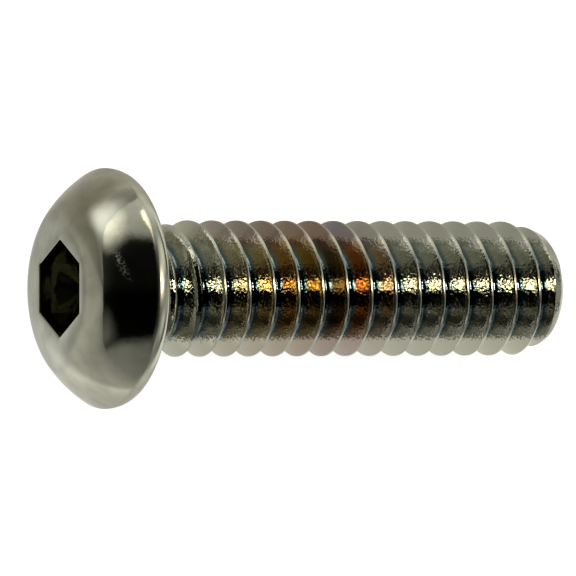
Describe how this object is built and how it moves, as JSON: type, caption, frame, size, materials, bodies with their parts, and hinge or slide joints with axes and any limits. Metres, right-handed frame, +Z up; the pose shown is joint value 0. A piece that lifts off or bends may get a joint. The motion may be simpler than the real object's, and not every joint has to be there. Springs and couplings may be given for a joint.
{
  "type": "button head screw",
  "caption": "Fully threaded machine screw with a low domed button head, a hexagon socket drive and a rounded point, in bright plated steel with heat tints.",
  "frame": {"origin": "centre of the bounding box in plan, on the surface the screw lies on", "axes": "+Z up; the screw lies along X with its head at -X and its point at +X, its axis sloping 6.67 degrees down towards the point"},
  "size_m": [0.0256, 0.011, 0.0109],
  "materials": {
    "plated_steel": "bright nickel-plated steel, polished head, heat-tinted thread"
  },
  "bodies": {
    "root": {"button_head_screw": "plated_steel"}
  },
  "joints": []
}
